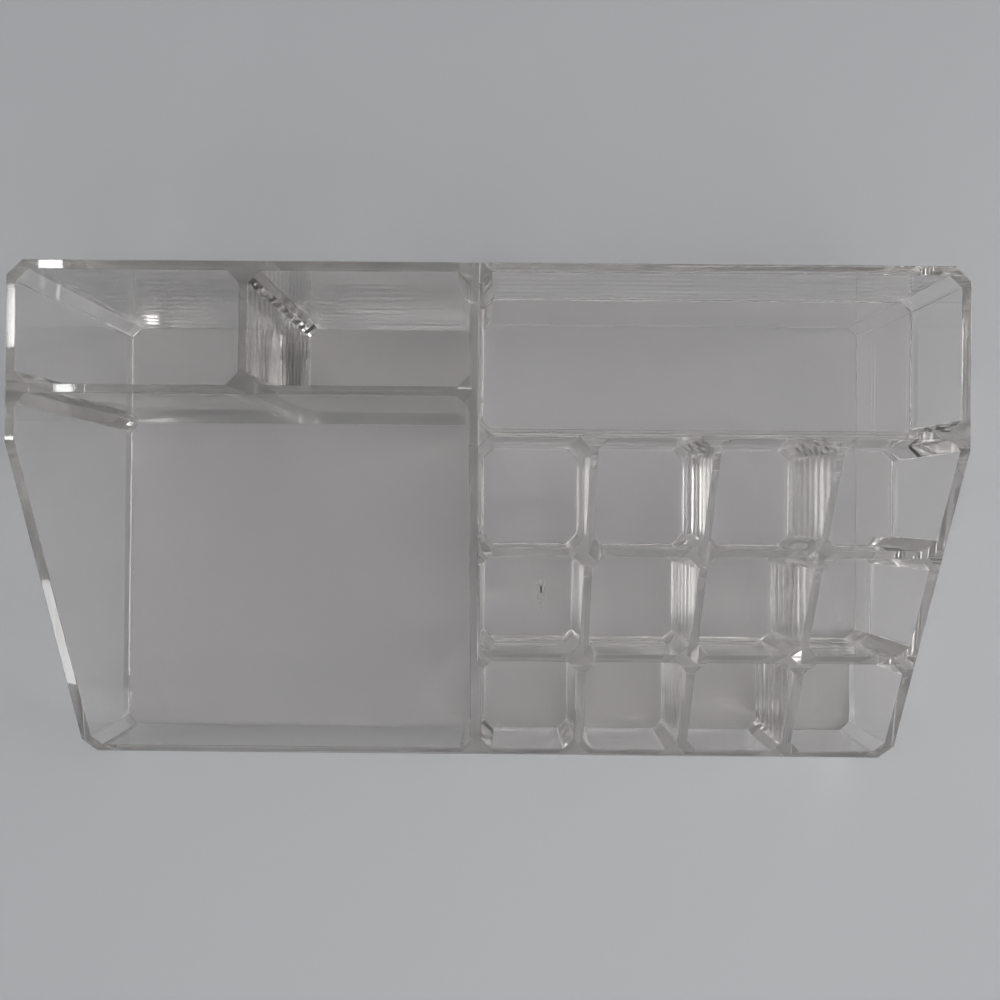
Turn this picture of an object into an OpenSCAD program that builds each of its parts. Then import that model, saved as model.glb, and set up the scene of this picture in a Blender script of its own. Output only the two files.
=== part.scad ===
// Vanity organizer: one clear moulding with sixteen open pockets, higher at the back than at the front.
// The origin is the middle of the base. +X is to the right, +Y to the back and +Z up. Millimetres.
// The left half holds two small bays behind one large bay. The right half holds a long tray behind
// three rows of four square cells, whose floors step down towards the front over an open underside.
// Every node is one region of the moulding. Regions meet face to face, so together they are the whole.

/* [Overall size] */
// Width over the outer walls
overall_width = 228; // [210:1:250]
// Depth from the back face to the front face
overall_depth = 127.5; // [120:0.5:140]
// Height of the level rim at the back
back_height = 75; // [66:0.5:90]
// Height of the rim at the front face
front_height = 27.3; // [24:0.1:34]
// Depth of the level rim, from the back face to where the slope starts
crest_depth = 43; // [36:0.5:50]

/* [Walls] */
// Thickness of the back and side walls at the level rim
outer_wall = 2.3; // [2:0.1:3]
// Thickness of the front wall at its own rim
front_wall_thickness = 2; // [1.6:0.1:3]
// Thickness of the main partition, the cross partition and the back divider at the level rim
partition_wall = 2.15; // [1.8:0.05:3]
// Thickness of the row walls and the column walls at the height of the level rim
cell_wall = 1.7; // [1.4:0.1:2.6]
// Thickness of every floor
floor_thickness = 2; // [1.5:0.1:3]
// Draft of the pocket faces, in degrees
draft_angle = 0.6; // [0.1:0.1:1]
// Draft of the faces inside the open underside, in degrees
hollow_draft = 1.5; // [0.5:0.1:1.8]

/* [Corners] */
// Leg of the 45 degree chamfer on the four outer corners
outer_chamfer = 3.7; // [2:0.1:4.2]
// Leg of the 45 degree fillet in each corner of a pocket
pocket_chamfer = 2.8; // [2.4:0.1:4]

/* [Left half] */
// How far the main partition's middle lies to the left of the organizer's middle
partition_offset = 3.15; // [0:0.05:6]
// Depth from the back face to the middle of the cross partition
cross_depth = 30.5; // [24:0.5:38]

/* [Right half] */
// Distance between the middles of neighbouring column walls
column_pitch = 29.1; // [26:0.1:30]
// Distance between the middles of neighbouring row walls
row_pitch = 28.75; // [26:0.25:31]
// Depth of the long tray below the level rim
tray_depth = 28.5; // [22:0.5:34]
// Depth of a raised cell below the top of its own front wall
cell_depth = 26; // [22:0.5:30]

/* [Gate mark] */
// Diameter of the shallow round recess in the left floor
gate_diameter = 10.4; // [6:0.1:14]
// Depth of the recess
gate_recess = 0.4; // [0.2:0.1:1]
// Diameter of the nub in the middle of the recess
gate_nub_diameter = 1.4; // [0.8:0.1:3]
// Distance from the middle of the main partition to the middle of the recess
gate_to_partition = 8.85; // [7:0.05:20]
// Depth from the back face to the middle of the recess
gate_depth = 62.7; // [55:0.1:75]

/* [Hidden] */
$fn = 96;

// The cell block has a fixed layout
cell_rows = 3;
cell_columns = 4;
// How far a solid runs on past the face that another one cuts, so that each face is cut only once
overrun = 1;

// Tangents of the two drafts
pocket_slant = tan(draft_angle);
hollow_slant = tan(hollow_draft);

// Outer faces
left_x = -overall_width / 2;
right_x = overall_width / 2;
back_y = overall_depth / 2;
front_y = -overall_depth / 2;

// Sideways shift of a pocket face from the level rim down to height z
function lean(z) = (back_height - z) * pocket_slant;

// Height of the rim at a depth measured from the back face
function rim_height(depth) =
    depth <= crest_depth
    ? back_height
    : back_height - (back_height - front_height) * (depth - crest_depth) / (overall_depth - crest_depth);

// Middles of the walls
partition_x = -partition_offset;
function row_wall_depth(n) = overall_depth - outer_wall / 2 - (cell_rows + 1 - n) * row_pitch;
function row_wall_y(n) = back_y - row_wall_depth(n);
function column_wall_x(n) = right_x - outer_wall / 2 - (cell_columns - n) * column_pitch;
cross_y = back_y - cross_depth;

// Middles of the outer walls, where what stands between them starts before their plates trim it
left_middle_x = left_x + outer_wall / 2;
right_middle_x = right_x - outer_wall / 2;
back_middle_y = back_y - outer_wall / 2;
front_middle_y = front_y + front_wall_thickness / 2;

// Inner faces at the height of the level rim
left_inner_x = left_x + outer_wall;
right_inner_x = right_x - outer_wall;
back_inner_y = back_y - outer_wall;
front_inner_y = front_y + front_wall_thickness - lean(front_height);
partition_left_x = partition_x - partition_wall / 2;
partition_right_x = partition_x + partition_wall / 2;
divider_x = (left_inner_x + partition_left_x) / 2;

// Tops of the floors: 0 is the tray, 1 to 3 are the rows of cells
function floor_top(level) =
    level == 0 ? back_height - tray_depth
    : level == cell_rows ? floor_thickness
    : rim_height(row_wall_depth(level + 1)) - cell_depth;

// The front and the back face of a pocket of each level, at the height of the level rim
function level_back_y(level) = level == 0 ? back_inner_y : row_wall_y(level) - cell_wall / 2;
function level_front_y(level) = level == cell_rows ? front_inner_y : row_wall_y(level + 1) + cell_wall / 2;

// The left and the right face of a cell of each column, at the height of the level rim
function cell_left_x(column) =
    column == 1 ? partition_right_x : column_wall_x(column - 1) + cell_wall / 2;
function cell_right_x(column) =
    column == cell_columns ? right_inner_x : column_wall_x(column) - cell_wall / 2;

// The open underside steps up towards the back, one step below each raised floor, and narrows upwards
function hollow_top(level) = floor_top(level) - floor_thickness;
function hollow_foot(level) = level == cell_rows - 1 ? 0 : hollow_top(level + 1);
function flare(z, top) = (top - z) * hollow_slant;

// Pale grey of clear plastic
module clear() {
    color([0.84, 0.86, 0.87, 0.5]) children();
}

// Extrudes a (y, z) outline along X
module along_x(from, to) {
    translate([from, 0, 0]) rotate([90, 0, 90]) linear_extrude(to - from) children();
}

// Extrudes an (x, z) outline along Y
module along_y(from, to) {
    translate([0, to, 0]) rotate([90, 0, 0]) linear_extrude(to - from) children();
}

// Cross-section of a wall between two faces given at the level rim; a drafted face leans out downwards
module wall_section(low, high, low_drafted, high_drafted, foot) {
    top = back_height + overrun;
    polygon([
        [low - (low_drafted ? lean(foot) : 0), foot],
        [high + (high_drafted ? lean(foot) : 0), foot],
        [high + (high_drafted ? lean(top) : 0), top],
        [low - (low_drafted ? lean(top) : 0), top]
    ]);
}

// Cross-section of a pocket between two faces given at the level rim; both lean in downwards
module pocket_section(low, high, foot) {
    top = back_height + overrun;
    polygon([
        [low + lean(foot), foot],
        [high - lean(foot), foot],
        [high - lean(top), top],
        [low + lean(top), top]
    ]);
}

// Everything below the rim: level at the back, then one straight slope to the front
module below_rim() {
    along_x(left_x - overrun, right_x + overrun)
        polygon([
            [front_y - overrun, 0],
            [back_y + overrun, 0],
            [back_y + overrun, back_height],
            [back_y - crest_depth, back_height],
            [front_y - overrun, rim_height(overall_depth + overrun)]
        ]);
}

// Plan outline with its four chamfered corners
module plan_outline() {
    translate([0, 0, -overrun])
        linear_extrude(back_height + 2 * overrun)
            polygon([
                [left_x + outer_chamfer, front_y],
                [right_x - outer_chamfer, front_y],
                [right_x, front_y + outer_chamfer],
                [right_x, back_y - outer_chamfer],
                [right_x - outer_chamfer, back_y],
                [left_x + outer_chamfer, back_y],
                [left_x, back_y - outer_chamfer],
                [left_x, front_y + outer_chamfer]
            ]);
}

// The plates that the walls are cut from. They run on past the plan outline, the base and the rim
module left_plate() {
    along_y(front_y - overrun, back_y + overrun)
        wall_section(left_x - overrun, left_inner_x, false, true, -overrun);
}

module right_plate() {
    along_y(front_y - overrun, back_y + overrun)
        wall_section(right_inner_x, right_x + overrun, true, false, -overrun);
}

module back_plate() {
    along_x(left_x - overrun, right_x + overrun)
        wall_section(back_inner_y, back_y + overrun, true, false, -overrun);
}

module front_plate() {
    along_x(left_x - overrun, right_x + overrun)
        wall_section(front_y - overrun, front_inner_y, false, true, -overrun);
}

module partition_plate() {
    along_y(front_y - overrun, back_y + overrun)
        wall_section(partition_left_x, partition_right_x, true, true, -overrun);
}

module cross_plate(foot) {
    along_x(left_middle_x, partition_x)
        wall_section(cross_y - partition_wall / 2, cross_y + partition_wall / 2, true, true, foot);
}

module row_plate(n) {
    along_x(partition_x, right_middle_x)
        wall_section(row_wall_y(n) - cell_wall / 2, row_wall_y(n) + cell_wall / 2, true, true, -overrun);
}

// The open underside as one stepped space; the overrun carries its lowest step through the base
module hollow() {
    low_x = partition_right_x;
    high_x = right_inner_x;
    high_y = back_inner_y;
    top = hollow_top(0);
    steps = [
        for (level = [cell_rows - 1 : -1 : 0])
            let (foot = level == cell_rows - 1 ? -overrun : hollow_foot(level))
                each [
                    [level_front_y(level) - flare(foot, hollow_top(level)), foot],
                    [level_front_y(level), hollow_top(level)]
                ]
    ];
    intersection() {
        along_y(front_y, back_y)
            polygon([
                [low_x - flare(-overrun, top), -overrun],
                [high_x + flare(-overrun, top), -overrun],
                [high_x, top],
                [low_x, top]
            ]);
        along_x(partition_x - partition_wall, right_x)
            polygon(concat(steps, [[high_y, top], [high_y + flare(-overrun, top), -overrun]]));
    }
}

// Space of one pocket with square corners, given at the level rim, from below its floor up to the rim
module pocket_box(low_x, high_x, low_y, high_y, foot) {
    intersection() {
        along_y(low_y - overrun, high_y + overrun) pocket_section(low_x, high_x, foot - overrun);
        along_x(low_x - overrun, high_x + overrun) pocket_section(low_y, high_y, foot - overrun);
        below_rim();
    }
}

// Wedge that fills one corner to a 45 degree face. The corner is given at the height reference, and
// the wedge's face moves by face_shift along each side for every millimetre below it
module corner_wedge(x, y, turn, reference, face_shift, foot, top) {
    foot_reach = pocket_chamfer + 2 * (reference - foot) * face_shift;
    top_reach = pocket_chamfer + 2 * (reference - top) * face_shift;
    half_width = pocket_chamfer + 2 * (reference - foot) * abs(face_shift);
    translate([x, y, 0]) rotate([0, 0, turn + 45])
        along_y(-half_width, half_width)
            polygon([
                [-half_width, foot],
                [foot_reach / sqrt(2), foot],
                [top_reach / sqrt(2), top],
                [-half_width, top]
            ]);
}

// The four corner fillets of one pocket
module pocket_fillets(low_x, high_x, low_y, high_y, foot) {
    top = back_height + overrun;
    intersection() {
        pocket_box(low_x, high_x, low_y, high_y, foot);
        union() {
            corner_wedge(low_x, low_y, 0, back_height, pocket_slant, foot, top);
            corner_wedge(high_x, low_y, 90, back_height, pocket_slant, foot, top);
            corner_wedge(high_x, high_y, 180, back_height, pocket_slant, foot, top);
            corner_wedge(low_x, high_y, 270, back_height, pocket_slant, foot, top);
        }
    }
}

// Left wall: level at the back, then down the slope
module left_wall() {
    clear() difference() {
        intersection() {
            left_plate();
            plan_outline();
            below_rim();
        }
        back_plate();
        front_plate();
    }
}

// Right wall: as the left one, and thinner towards the base beside the open underside
module right_wall() {
    clear() difference() {
        intersection() {
            right_plate();
            plan_outline();
            below_rim();
        }
        back_plate();
        front_plate();
        hollow();
    }
}

// Back wall over the whole width, with the back half of the two outer corners
module back_wall() {
    clear() difference() {
        intersection() {
            back_plate();
            plan_outline();
            below_rim();
        }
        hollow();
    }
}

// Front wall over the whole width, the lowest wall
module front_wall() {
    clear() intersection() {
        front_plate();
        plan_outline();
        below_rim();
    }
}

// Main partition from the back wall to the front wall, between the bays and the cell block
module main_partition() {
    clear() difference() {
        intersection() {
            partition_plate();
            below_rim();
        }
        back_plate();
        front_plate();
        hollow();
    }
}

// Cross partition between the two small bays and the large bay
module cross_partition() {
    clear() difference() {
        intersection() {
            cross_plate(floor_thickness);
            below_rim();
        }
        left_plate();
        partition_plate();
    }
}

// Divider between the two small bays
module back_divider() {
    half_wall = partition_wall / 2;
    clear() difference() {
        intersection() {
            along_y(cross_y, back_middle_y)
                wall_section(divider_x - half_wall, divider_x + half_wall, true, true, floor_thickness);
            below_rim();
        }
        back_plate();
        cross_plate(0);
    }
}

// Left floor under all three bays, with the round gate mark
module left_floor() {
    recess_floor = floor_thickness - gate_recess;
    clear() difference() {
        translate([left_middle_x, front_middle_y, 0])
            cube([partition_x - left_middle_x, back_middle_y - front_middle_y, floor_thickness]);
        left_plate();
        partition_plate();
        back_plate();
        front_plate();
        translate([partition_x - gate_to_partition, back_y - gate_depth, recess_floor])
            difference() {
                cylinder(d = gate_diameter, h = gate_recess + overrun);
                translate([0, 0, -overrun]) cylinder(d = gate_nub_diameter, h = gate_recess + 3 * overrun);
            }
    }
}

// A floor of the right half between the walls of its level
module level_floor(level) {
    back = level == 0 ? back_middle_y : row_wall_y(level);
    front = level == cell_rows ? front_middle_y : row_wall_y(level + 1);
    difference() {
        translate([partition_x, front, hollow_top(level)])
            cube([right_middle_x - partition_x, back - front, floor_thickness]);
        partition_plate();
        right_plate();
        if (level == 0) back_plate();
        if (level > 0) row_plate(level);
        if (level < cell_rows) row_plate(level + 1);
        if (level == cell_rows) front_plate();
    }
}

module tray_floor() {
    clear() level_floor(0);
}

module first_row_floor() {
    clear() level_floor(1);
}

module second_row_floor() {
    clear() level_floor(2);
}

module third_row_floor() {
    clear() level_floor(3);
}

// A wall along the cell block. Below the floor behind it, it goes on as the riser down to the next floor
module row_wall(n) {
    difference() {
        intersection() {
            row_plate(n);
            below_rim();
        }
        partition_plate();
        right_plate();
        hollow();
    }
}

module tray_front_wall() {
    clear() row_wall(1);
}

module second_row_wall() {
    clear() row_wall(2);
}

module third_row_wall() {
    clear() row_wall(3);
}

// A column wall: one panel in each row, standing on that row's floor between two row walls
module column_wall(n) {
    left_face = column_wall_x(n) - cell_wall / 2;
    right_face = column_wall_x(n) + cell_wall / 2;
    for (level = [1 : cell_rows]) {
        back = row_wall_y(level);
        front = level == cell_rows ? front_middle_y : row_wall_y(level + 1);
        difference() {
            intersection() {
                along_y(front, back)
                    wall_section(left_face, right_face, true, true, floor_top(level));
                below_rim();
            }
            row_plate(level);
            if (level < cell_rows) row_plate(level + 1);
            if (level == cell_rows) front_plate();
        }
    }
}

module column_wall_1() {
    clear() column_wall(1);
}

module column_wall_2() {
    clear() column_wall(2);
}

module column_wall_3() {
    clear() column_wall(3);
}

// Corner fillets of the two small bays and the large bay
module left_bay_fillets() {
    half_wall = partition_wall / 2;
    bays = [
        [left_inner_x, divider_x - half_wall, cross_y + half_wall, back_inner_y],
        [divider_x + half_wall, partition_left_x, cross_y + half_wall, back_inner_y],
        [left_inner_x, partition_left_x, front_inner_y, cross_y - half_wall]
    ];
    clear() for (bay = bays)
        pocket_fillets(bay[0], bay[1], bay[2], bay[3], floor_thickness);
}

// Corner fillets of the long tray
module tray_fillets() {
    clear() pocket_fillets(
        partition_right_x,
        right_inner_x,
        level_front_y(0),
        level_back_y(0),
        floor_top(0)
    );
}

// Corner fillets of the four cells of one row
module row_fillets(level) {
    for (column = [1 : cell_columns])
        pocket_fillets(
            cell_left_x(column),
            cell_right_x(column),
            level_front_y(level),
            level_back_y(level),
            floor_top(level)
        );
}

module first_row_fillets() {
    clear() row_fillets(1);
}

module second_row_fillets() {
    clear() row_fillets(2);
}

module third_row_fillets() {
    clear() row_fillets(3);
}

// Fillets in the vertical corners of the open underside
module underside_fillets() {
    clear() for (level = [0 : cell_rows - 1]) {
        reference = hollow_top(level);
        foot = hollow_foot(level);
        top = reference + overrun;
        low_x = partition_right_x - flare(reference, hollow_top(0));
        high_x = right_inner_x + flare(reference, hollow_top(0));
        intersection() {
            hollow();
            union() {
                corner_wedge(low_x, level_front_y(level), 0, reference, -hollow_slant, foot, top);
                corner_wedge(high_x, level_front_y(level), 90, reference, -hollow_slant, foot, top);
                if (level == 0) {
                    corner_wedge(high_x, back_inner_y, 180, reference, -hollow_slant, 0, top);
                    corner_wedge(low_x, back_inner_y, 270, reference, -hollow_slant, 0, top);
                }
            }
        }
    }
}

left_wall();
right_wall();
back_wall();
front_wall();
main_partition();
cross_partition();
back_divider();
left_floor();
tray_floor();
first_row_floor();
second_row_floor();
third_row_floor();
tray_front_wall();
second_row_wall();
third_row_wall();
column_wall_1();
column_wall_2();
column_wall_3();
left_bay_fillets();
tray_fillets();
first_row_fillets();
second_row_fillets();
third_row_fillets();
underside_fillets();
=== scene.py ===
import math

import bpy
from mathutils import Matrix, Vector


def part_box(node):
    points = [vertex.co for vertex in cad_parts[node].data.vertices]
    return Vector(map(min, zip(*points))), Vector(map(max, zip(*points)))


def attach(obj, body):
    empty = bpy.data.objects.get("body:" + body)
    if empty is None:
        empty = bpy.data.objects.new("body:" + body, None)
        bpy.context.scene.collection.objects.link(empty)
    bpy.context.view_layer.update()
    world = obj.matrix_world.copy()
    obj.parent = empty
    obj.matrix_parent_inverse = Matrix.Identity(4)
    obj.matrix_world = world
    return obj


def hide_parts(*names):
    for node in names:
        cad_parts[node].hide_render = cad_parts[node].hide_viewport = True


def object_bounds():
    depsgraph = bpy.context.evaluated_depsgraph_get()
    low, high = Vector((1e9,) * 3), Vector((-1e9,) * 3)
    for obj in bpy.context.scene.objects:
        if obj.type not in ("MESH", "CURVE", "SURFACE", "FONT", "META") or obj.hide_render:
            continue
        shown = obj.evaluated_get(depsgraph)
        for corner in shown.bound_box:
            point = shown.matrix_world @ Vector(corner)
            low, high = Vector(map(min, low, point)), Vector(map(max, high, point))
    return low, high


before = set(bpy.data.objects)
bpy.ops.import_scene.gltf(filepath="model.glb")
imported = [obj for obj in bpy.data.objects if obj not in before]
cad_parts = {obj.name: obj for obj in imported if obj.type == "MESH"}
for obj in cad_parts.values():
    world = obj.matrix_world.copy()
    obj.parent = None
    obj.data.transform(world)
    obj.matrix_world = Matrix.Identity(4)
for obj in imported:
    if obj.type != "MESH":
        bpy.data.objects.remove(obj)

cad_low, cad_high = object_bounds()

# Camera
# The organizer is seen from straight above, at arm's length, through an ordinary wide lens whose
# picture is as wide as its distance.
mm = 0.001
picture_side = 36.0
lens_length = 36.0
nearest_seen = 10 * mm
camera_place = Vector((4.185, 5.501, 310.573)) * mm
camera_lean = (math.radians(0.528), math.radians(0.229), math.radians(0.480))

camera = bpy.data.objects.new("camera", bpy.data.cameras.new("camera"))
bpy.context.scene.collection.objects.link(camera)
camera.data.sensor_width = picture_side
camera.data.lens = lens_length
camera.data.clip_start = nearest_seen
camera.location = camera_place
camera.rotation_mode = "ZYX"
camera.rotation_euler = camera_lean
bpy.context.scene.camera = camera
bpy.context.scene.view_settings.view_transform = "Standard"

# Floor
# A plain pale grey sheet that the organizer stands on, with a satin surface and a very fine grain.
floor_side = 2.6
air_gap = 0.05 * mm
floor_grey = (0.395, 0.4, 0.41, 1)
floor_roughness = 0.6
grain_size = 0.8 * mm
grain_height = 0.01 * mm


def new_material(name):
    """A node material with its Principled shader and its node tree."""
    material = bpy.data.materials.new(name)
    material.use_nodes = True
    return material, material.node_tree.nodes["Principled BSDF"], material.node_tree


def add_node(tree, kind, **inputs):
    """One shader node with plain values, or links from other sockets, on its named inputs."""
    made = tree.nodes.new(kind)
    for name, value in inputs.items():
        socket = made.inputs[name.replace("_", " ")]
        if isinstance(value, bpy.types.NodeSocket):
            tree.links.new(value, socket)
        else:
            socket.default_value = value
    return made


bpy.ops.object.select_all(action="DESELECT")
bpy.ops.mesh.primitive_plane_add(size=floor_side, location=(0, 0, cad_low.z - air_gap))
floor = bpy.context.object
floor.name = "floor"
floor_material, floor_shader, floor_tree = new_material("pale_floor")
floor_shader.inputs["Base Color"].default_value = floor_grey
floor_shader.inputs["Roughness"].default_value = floor_roughness
floor_place = add_node(floor_tree, "ShaderNodeTexCoord").outputs["Object"]
grain = add_node(floor_tree, "ShaderNodeTexNoise", Vector=floor_place, Scale=1 / grain_size)
grain_fac = grain.outputs["Fac"]
grain_bump = add_node(floor_tree, "ShaderNodeBump", Height=grain_fac, Distance=grain_height)
floor_tree.links.new(grain_bump.outputs["Normal"], floor_shader.inputs["Normal"])
floor.data.materials.append(floor_material)

# Light
# A tall soft window on the right, a weaker one on the left and a lamp overhead in front. Four
# small panes and one low lamp glint on the rims of the left end. The room is pale all round.
room_colour = (0.95, 0.97, 1.0, 1)
room_strength = 0.27
window_size = (0.9, 1.6)
window_power = 26.0
window_place = Vector((1.6, 0.1, 0.9))
fill_power = 11.0
fill_place = Vector((-1.6, -0.1, 0.9))
front_size = (0.6, 0.3)
front_power = 2.0
front_place = Vector((0.1, -0.48, 0.75))
pane_glow = 50.0
panes = [
    (Vector((-0.730, 0.19, 1.5)), (0.030, 0.08)),
    (Vector((-0.755, 0.40, 1.5)), (0.040, 0.05)),
    (Vector((-0.800, 0.32, 1.5)), (0.050, 0.10)),
    (Vector((-0.825, 0.09, 1.5)), (0.060, 0.06)),
]
slope_glint_size = (0.12, 0.12)
slope_glint_power = 0.3
slope_glint_place = Vector((-0.54, -0.97, 0.46))
most_bounces = 40
most_bounces_in_plastic = 36


def soft_light(name, place, size, power, aim=Vector((0, 0, 0))):
    """An area lamp that faces the organizer and stays out of the camera's sight."""
    light = bpy.data.objects.new(name, bpy.data.lights.new(name, "AREA"))
    light.data.shape = "RECTANGLE"
    light.data.size, light.data.size_y = size
    light.data.energy = power
    light.location = place
    light.rotation_euler = (aim - place).to_track_quat("-Z", "Y").to_euler()
    light.visible_camera = False
    bpy.context.scene.collection.objects.link(light)


soft_light("window", window_place, window_size, window_power)
soft_light("fill", fill_place, window_size, fill_power)
soft_light("front", front_place, front_size, front_power)
for number, (pane_place, (pane_width, pane_depth)) in enumerate(panes, 1):
    soft_light(f"pane_{number}", pane_place, (pane_width, pane_depth),
               pane_glow * pane_width * pane_depth, Vector((pane_place.x, pane_place.y, 0)))
soft_light("slope_glint", slope_glint_place, slope_glint_size, slope_glint_power)
room = bpy.data.worlds.new("room")
room.use_nodes = True
room.node_tree.nodes["Background"].inputs["Color"].default_value = room_colour
room.node_tree.nodes["Background"].inputs["Strength"].default_value = room_strength
bpy.context.scene.world = room
bpy.context.scene.cycles.max_bounces = most_bounces
bpy.context.scene.cycles.transmission_bounces = most_bounces_in_plastic
bpy.context.scene.cycles.glossy_bounces = most_bounces_in_plastic
bpy.context.scene.cycles.blur_glossy = 0

# Outer block
# The outside of the moulding: a block with four cut corners. Its rim is level at the back and then
# falls in one straight slope to the low front wall.
outer_chamfer = 3.7 * mm
crest_depth = 43 * mm
front_rim = 27.3 * mm
crest_y = cad_high.y - crest_depth
back_height = cad_high.z
front_height = cad_low.z + front_rim


def select_only(thing):
    """Makes one object the active one and the only selected one."""
    bpy.ops.object.select_all(action="DESELECT")
    thing.select_set(True)
    bpy.context.view_layer.objects.active = thing


def select_edges(thing, wanted):
    """Selects the edges for which wanted(start, end) is true, and stays in edit mode."""
    bpy.ops.object.mode_set(mode="EDIT")
    bpy.ops.mesh.select_mode(type="EDGE")
    bpy.ops.mesh.select_all(action="DESELECT")
    bpy.ops.object.mode_set(mode="OBJECT")
    corners = thing.data.vertices
    for edge in thing.data.edges:
        edge.select = wanted(*(corners[i].co for i in edge.vertices))
    bpy.ops.object.mode_set(mode="EDIT")


def select_faces(thing, wanted):
    """Selects the faces for which wanted(centre, normal) is true, and stays in edit mode."""
    bpy.ops.object.mode_set(mode="EDIT")
    bpy.ops.mesh.select_mode(type="FACE")
    bpy.ops.mesh.select_all(action="DESELECT")
    bpy.ops.object.mode_set(mode="OBJECT")
    for face in thing.data.polygons:
        face.select = wanted(face.center, face.normal)
    bpy.ops.object.mode_set(mode="EDIT")


def is_upright(start, end):
    """True for an edge that runs up and down."""
    return abs((end - start).z) > (end - start).length / 2


def add_box(name, low, high):
    """A plain box between two corners, with its place in its mesh."""
    bpy.ops.object.select_all(action="DESELECT")
    bpy.ops.mesh.primitive_cube_add(size=1, location=(low + high) / 2, scale=high - low)
    box = bpy.context.object
    box.name = name
    select_only(box)
    bpy.ops.object.transform_apply(location=True, rotation=True, scale=True)
    return box


def cut_corners(thing, leg):
    """Cuts the upright edges at 45 degrees."""
    select_edges(thing, is_upright)
    bpy.ops.mesh.bevel(offset=leg, segments=1, affect="EDGES")
    bpy.ops.object.mode_set(mode="OBJECT")


moulding = add_box("clear_moulding", cad_low, cad_high)
cut_corners(moulding, outer_chamfer)
bpy.ops.object.mode_set(mode="EDIT")
bpy.ops.mesh.select_all(action="SELECT")
bpy.ops.mesh.bisect(
    plane_co=(0, crest_y, back_height),
    plane_no=(0, front_height - back_height, crest_y - cad_low.y),
    use_fill=True,
    clear_outer=True,
)
bpy.ops.object.mode_set(mode="OBJECT")

# Pockets
# Each pocket is a drafted space with cut corners that the mould's core leaves. The walls between
# are thin at the rim and a little thicker at the foot.
pocket_draft = math.tan(math.radians(0.6))
partition_wall = 2.15 * mm
cell_wall = 1.7 * mm
pocket_chamfer = 2.8 * mm
overrun = 1 * mm
cores = []


def lean(height):
    """How far a pocket's side stands further in at this height than at the level rim."""
    return (back_height - height) * pocket_draft


def add_core(name, low, high):
    """The core of one pocket. Low and high are the corners of the pocket's floor."""
    top = back_height + overrun
    widening = 2 * (lean(low.z) - lean(top))
    core = add_box(name, low, Vector((high.x, high.y, top)))
    cut_corners(core, pocket_chamfer)
    select_faces(core, lambda centre, normal: centre.z > top - overrun / 2)
    width, depth = high.x - low.x, high.y - low.y
    bpy.ops.transform.resize(value=(1 + widening / width, 1 + widening / depth, 1))
    bpy.ops.object.mode_set(mode="OBJECT")
    cores.append(core)


def floor_corners(node):
    """The low and the high corner of a floor's top face."""
    low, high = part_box(node)
    return Vector((low.x, low.y, high.z)), high


def wall_middle(node, axis):
    """Where a wall's middle plane lies, along X with axis 0 or along Y with axis 1."""
    low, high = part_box(node)
    return (low[axis] + high[axis]) / 2


bay_low, bay_high = floor_corners("left_floor")
half_foot = partition_wall / 2 + lean(bay_low.z)
cross_y = wall_middle("cross_partition", 1)
divider_x = wall_middle("back_divider", 0)
add_core("back_left_bay", Vector((bay_low.x, cross_y + half_foot, bay_low.z)),
         Vector((divider_x - half_foot, bay_high.y, bay_low.z)))
add_core("back_middle_bay", Vector((divider_x + half_foot, cross_y + half_foot, bay_low.z)),
         bay_high)
add_core("large_bay", bay_low, Vector((bay_high.x, cross_y - half_foot, bay_low.z)))
add_core("long_tray", *floor_corners("tray_floor"))
column_x = [wall_middle(f"column_wall_{n}", 0) for n in (1, 2, 3)]
for row in ("first_row", "second_row", "third_row"):
    row_low, row_high = floor_corners(f"{row}_floor")
    half_foot = cell_wall / 2 + lean(row_low.z)
    lefts = [row_low.x] + [x + half_foot for x in column_x]
    rights = [x - half_foot for x in column_x] + [row_high.x]
    for number, (left, right) in enumerate(zip(lefts, rights), 1):
        add_core(f"{row}_cell_{number}", Vector((left, row_low.y, row_low.z)),
                 Vector((right, row_high.y, row_low.z)))

# Open underside
# Below the raised tray and cells the moulding is hollow and open to the table, so every floor is a
# thin sheet. The core that leaves this space steps up towards the back, one step for each floor.
hollow_draft = math.tan(math.radians(1.5))
hair = 0.01 * mm
level_face = 0.5
raised_floors = ["second_row_floor", "first_row_floor", "tray_floor"]
ceilings = [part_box(name)[0].z for name in raised_floors]
tray_low, tray_high = floor_corners("tray_floor")
side_low_x, side_high_x = tray_low.x - lean(tray_low.z), tray_high.x + lean(tray_low.z)
back_face_y = tray_high.y + lean(tray_low.z)


def riser_y(name):
    """The front face of the step below one raised floor."""
    low, high = floor_corners(name)
    return low.y - lean(low.z)


def move_corners(thing, wanted, **how):
    """Moves or scales the corners for which wanted(place) is true."""
    bpy.ops.object.mode_set(mode="EDIT")
    bpy.ops.mesh.select_mode(type="VERT")
    bpy.ops.mesh.select_all(action="DESELECT")
    bpy.ops.object.mode_set(mode="OBJECT")
    for corner in thing.data.vertices:
        corner.select = wanted(corner.co)
    bpy.ops.object.mode_set(mode="EDIT")
    if "value" in how and "center_override" not in how:
        bpy.ops.transform.translate(**how)
    else:
        bpy.ops.transform.resize(**how)
    bpy.ops.object.mode_set(mode="OBJECT")


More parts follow.
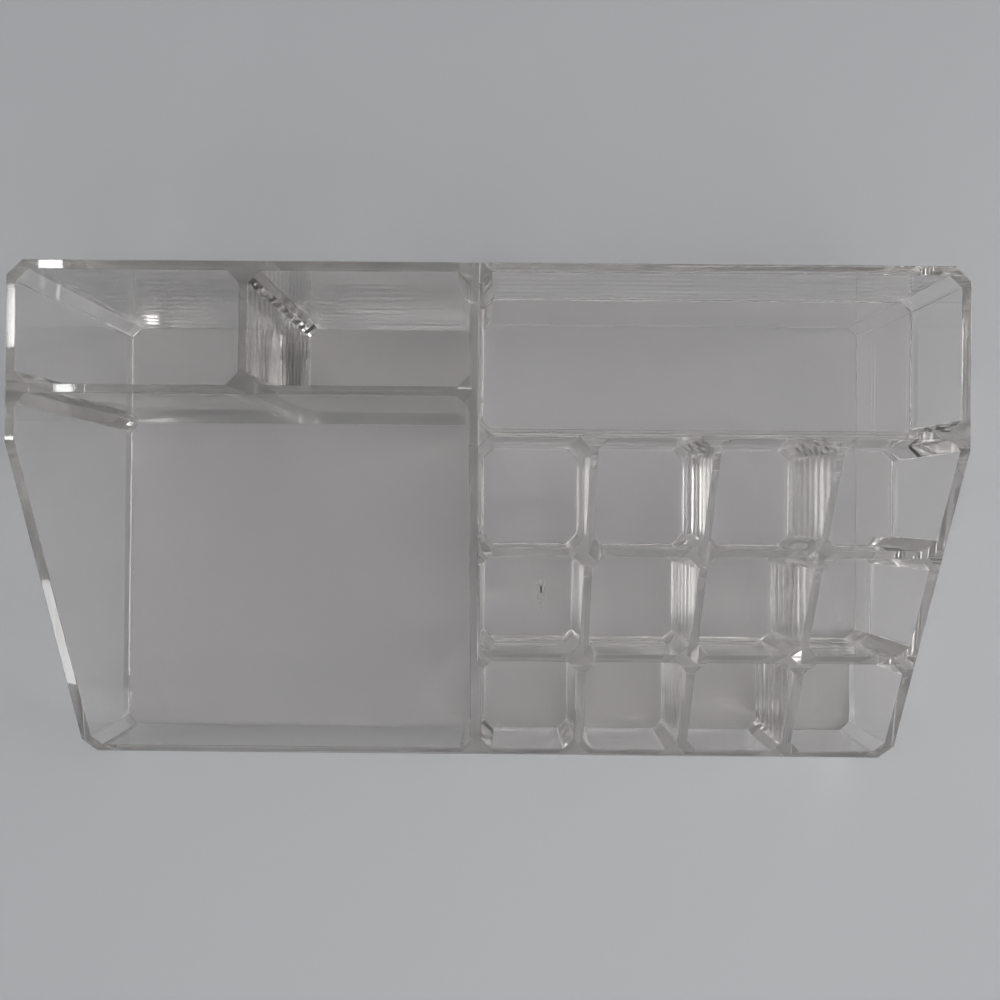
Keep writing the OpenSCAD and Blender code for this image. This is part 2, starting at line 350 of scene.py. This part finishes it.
hollow_foot = cad_low.z - overrun
hollow = add_box("underside", Vector((side_low_x, riser_y(raised_floors[0]), hollow_foot)),
                 Vector((side_high_x, back_face_y, ceilings[0])))
for name, old_top, top in zip(raised_floors[1:], ceilings, ceilings[1:]):
    face_y = riser_y(name)
    select_faces(hollow, lambda centre, normal: normal.z > level_face and centre.z > old_top - hair)
    bpy.ops.mesh.bisect(plane_co=(0, face_y, 0), plane_no=(0, 1, 0))
    bpy.ops.object.mode_set(mode="OBJECT")
    select_faces(hollow, lambda centre, normal: centre.z > old_top - hair and centre.y > face_y)
    bpy.ops.mesh.extrude_region_move(TRANSFORM_OT_translate={"value": (0, 0, top - old_top)})
    bpy.ops.object.mode_set(mode="OBJECT")
for height in [hollow_foot] + ceilings[:-1]:
    flare = (ceilings[-1] - height) * hollow_draft
    move_corners(hollow, lambda place: abs(place.z - height) < hair,
                 value=(1 + 2 * flare / (side_high_x - side_low_x), 1, 1),
                 center_override=((side_low_x + side_high_x) / 2, 0, 0))
    move_corners(
        hollow,
        lambda place: abs(place.z - height) < hair and place.y > back_face_y - hair,
        value=(0, flare, 0),
    )
for name, foot, top in zip(raised_floors, [hollow_foot] + ceilings, ceilings):
    face_y = riser_y(name)
    move_corners(
        hollow,
        lambda place: abs(place.z - foot) < hair and abs(place.y - face_y) < hair,
        value=(0, (foot - top) * hollow_draft, 0),
    )
cut_corners(hollow, pocket_chamfer)
cores.append(hollow)

# Moulded edges
# The cores leave their spaces in the block. The edges round each pocket's floor have the radius of
# the cutter that made the core, and all other edges are crisp.
foot_radius = 0.35 * mm
crisp_radius = 0.14 * mm
sharp_angle = math.radians(20)
flat_angle = math.radians(0.05)
round_steps = 6


def cut_with(core, closeness):
    """Takes a core out of the moulding, removes the core and merges corners this close."""
    select_only(moulding)
    cut = moulding.modifiers.new("core", "BOOLEAN")
    cut.operation = "DIFFERENCE"
    cut.solver = "EXACT"
    cut.object = core
    bpy.ops.object.modifier_apply(modifier=cut.name)
    bpy.data.objects.remove(core)
    bpy.ops.object.mode_set(mode="EDIT")
    bpy.ops.mesh.select_all(action="SELECT")
    bpy.ops.mesh.remove_doubles(threshold=closeness)
    bpy.ops.mesh.dissolve_limited(angle_limit=flat_angle)
    bpy.ops.object.mode_set(mode="OBJECT")


bpy.ops.object.select_all(action="DESELECT")
for core in cores:
    core.select_set(True)
bpy.context.view_layer.objects.active = cores[0]
bpy.ops.object.join()
cut_with(cores[0], hair)


floor_tops = [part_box(name)[1].z for name in ["left_floor", "third_row_floor"] + raised_floors]


def round_a_floor(start, end):
    """True for an edge that lies level with the top of a floor."""
    return any(all(abs(place.z - top) < hair for place in (start, end)) for top in floor_tops)


bpy.ops.object.mode_set(mode="EDIT")
bpy.ops.mesh.select_mode(type="EDGE")
bpy.ops.mesh.select_all(action="DESELECT")
bpy.ops.mesh.edges_select_sharp(sharpness=sharp_angle)
bpy.ops.transform.edge_bevelweight(value=crisp_radius / foot_radius)
bpy.ops.object.mode_set(mode="OBJECT")
select_edges(moulding, round_a_floor)
bpy.ops.transform.edge_bevelweight(value=1)
bpy.ops.object.mode_set(mode="OBJECT")
rounding = moulding.modifiers.new("rounding", "BEVEL")
rounding.limit_method = "WEIGHT"
rounding.width = foot_radius
rounding.segments = round_steps
rounding.use_clamp_overlap = False
bpy.ops.object.modifier_apply(modifier=rounding.name)

# Gate mark
# The shallow round recess in the large bay's floor where the plastic was let into the mould, with
# the trimmed stub of the gate in its middle.
gate_to_partition = 8.85 * mm
gate_to_back = 62.7 * mm
gate_x = wall_middle("main_partition", 0) - gate_to_partition
gate_place = Vector((gate_x, cad_high.y - gate_to_back, bay_low.z))
gate_sides = 64
gate_radius = 5.2 * mm
gate_depth = 0.4 * mm
stub_radius = 0.7 * mm

bpy.ops.object.select_all(action="DESELECT")
bpy.ops.mesh.primitive_cylinder_add(
    vertices=gate_sides,
    radius=gate_radius,
    depth=gate_depth + overrun,
    location=gate_place + Vector((0, 0, (overrun - gate_depth) / 2)),
)
gate = bpy.context.object
select_only(gate)
bpy.ops.object.transform_apply(location=True, rotation=True, scale=True)
select_faces(gate, lambda centre, normal: abs(normal.z) > level_face)
bpy.ops.mesh.inset(thickness=gate_radius - stub_radius)
bpy.ops.mesh.bridge_edge_loops()
bpy.ops.object.mode_set(mode="OBJECT")
cut_with(gate, hair / 10)

# Clear plastic
# Colourless general-purpose polystyrene that turns a little grey along the walls. Handling has
# left smudges, hair scratches, dust and one scuff, and the cores' cutter has left level ripples.
plastic_tint = (0.95, 0.931, 0.92, 1)
dust_tint = (0.06, 0.055, 0.05, 1)
plastic_ior = 1.58
deep_grey = (0.75, 0.74, 0.70, 1)
depth_of_grey = 9.0
polish = 0.015
smudge_size = 45 * mm
smudge_range = (0.52, 0.70)
smudge_roughness = 0.05
scratch_field = 70 * mm
scratched_range = (0.60, 0.64)
scratch_width = 0.08 * mm
scratch_roughness = 0.22
dust_spacing = 21 * mm
dust_radius = 0.3 * mm
dust_share = 0.3
lying_slope = 0.9
ripple_pitch = 4.7 * mm
ripple_height = 0.006 * mm
ripple_range = (100 * mm, 90 * mm)
wall_slope_range = (0.75, 0.9)
scuff_place = Vector((15.2, -18.0, 18.2)) * mm
scuff_reach = Vector((1.3, 5.2, 1.0)) * mm
scuff_wiggle = 3.7 * mm
scuff_waver = 0.2
scuff_outline = 0.8
scuff_line_range = (0.16, 0.04)
scuff_darkness = 0.35
pit_range = (0.3, 0.2)

plastic, shader, tree = new_material("clear_plastic")
nodes, links = tree.nodes, tree.links


def calculate(operation, first, second=0.0):
    """A Math node's result."""
    made = nodes.new("ShaderNodeMath")
    made.operation = operation
    for socket, value in zip(made.inputs, (first, second)):
        if isinstance(value, bpy.types.NodeSocket):
            links.new(value, socket)
        else:
            socket.default_value = value
    return made.outputs["Value"]


def fade(value, low, high):
    """A smooth step: 0 where the value is at low, 1 where it is at high."""
    made = add_node(tree, "ShaderNodeMapRange", Value=value, From_Min=low, From_Max=high)
    made.interpolation_type = "SMOOTHSTEP"
    return made.outputs["Result"]


place = add_node(tree, "ShaderNodeTexCoord").outputs["Object"]


def noise(scale, detail):
    """Smooth noise over the moulding, between 0 and 1 and mostly near a half."""
    made = add_node(tree, "ShaderNodeTexNoise", Vector=place, Scale=scale, Detail=detail)
    return made.outputs["Fac"]


handling = noise(1 / smudge_size, 1.0)
smudges = fade(handling, *smudge_range)
off_line = calculate("ABSOLUTE", calculate("SUBTRACT", noise(1 / scratch_field, 0.0), 0.5))
line = fade(off_line, scratch_width / scratch_field, 0.0)
scratches = calculate("MULTIPLY", line, fade(handling, *scratched_range))
across = add_node(tree, "ShaderNodeSeparateXYZ", Vector=place).outputs
normal = add_node(tree, "ShaderNodeNewGeometry").outputs["Normal"]
facing = add_node(tree, "ShaderNodeSeparateXYZ", Vector=normal).outputs
speck_cells = add_node(tree, "ShaderNodeTexVoronoi", Vector=place, Scale=1 / dust_spacing)
speck_cells.voronoi_dimensions = "2D"
speck_reach = dust_radius / dust_spacing
near_speck = fade(speck_cells.outputs["Distance"], speck_reach, speck_reach / 2)
speck_shade = add_node(tree, "ShaderNodeSeparateColor", Color=speck_cells.outputs["Color"])
speck_kept = calculate("LESS_THAN", speck_shade.outputs["Red"], dust_share)
lying = calculate("MULTIPLY", speck_kept, calculate("GREATER_THAN", facing["Z"], lying_slope))
dust = calculate("MULTIPLY", near_speck, lying)

from_scuff = add_node(tree, "ShaderNodeMapping", Vector=place)
from_scuff.inputs["Location"].default_value = [-p / r for p, r in zip(scuff_place, scuff_reach)]
from_scuff.inputs["Scale"].default_value = [1 / reach for reach in scuff_reach]
wiggle = calculate("SINE", calculate("MULTIPLY", across["Y"], 2 * math.pi / scuff_wiggle))
scuff_length = add_node(tree, "ShaderNodeVectorMath", Vector=from_scuff.outputs["Vector"])
scuff_length.operation = "LENGTH"
scuff_distance = scuff_length.outputs["Value"]
uneven = calculate("ADD", scuff_distance, calculate("MULTIPLY", wiggle, scuff_waver))
ring = calculate("SUBTRACT", uneven, scuff_outline)
scuff = fade(calculate("ABSOLUTE", ring), *scuff_line_range)
dust = calculate("MAXIMUM", dust, fade(scuff_distance, *pit_range))
dust = calculate("MAXIMUM", dust, calculate("MULTIPLY", scuff, scuff_darkness))

roughness = calculate("ADD", calculate("MULTIPLY", smudges, smudge_roughness), polish)
scratches = calculate("MAXIMUM", scratches, scuff)
roughness = calculate("MAXIMUM", roughness, calculate("MULTIPLY", scratches, scratch_roughness))
links.new(calculate("MAXIMUM", roughness, dust), shader.inputs["Roughness"])
tint = add_node(tree, "ShaderNodeValToRGB", Fac=dust)
tint.color_ramp.elements[0].color = plastic_tint
tint.color_ramp.elements[1].color = dust_tint
links.new(tint.outputs["Color"], shader.inputs["Base Color"])

sideways = fade(calculate("ABSOLUTE", facing["X"]), *wall_slope_range)
inner = fade(calculate("ABSOLUTE", across["X"]), *ripple_range)
wave = calculate("SINE", calculate("MULTIPLY", across["Z"], 2 * math.pi / ripple_pitch))
rippled = calculate("MULTIPLY", calculate("MULTIPLY", sideways, inner), ripple_height)
ripples = calculate("MULTIPLY", wave, rippled)
relief = add_node(tree, "ShaderNodeBump", Height=ripples, Distance=1.0)
links.new(relief.outputs["Normal"], shader.inputs["Normal"])

shader.inputs["IOR"].default_value = plastic_ior
shader.inputs["Transmission Weight"].default_value = 1.0
greying = add_node(tree, "ShaderNodeVolumeAbsorption", Color=deep_grey, Density=depth_of_grey)
links.new(greying.outputs["Volume"], nodes["Material Output"].inputs["Volume"])
moulding.data.materials.append(plastic)

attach(moulding, "root")
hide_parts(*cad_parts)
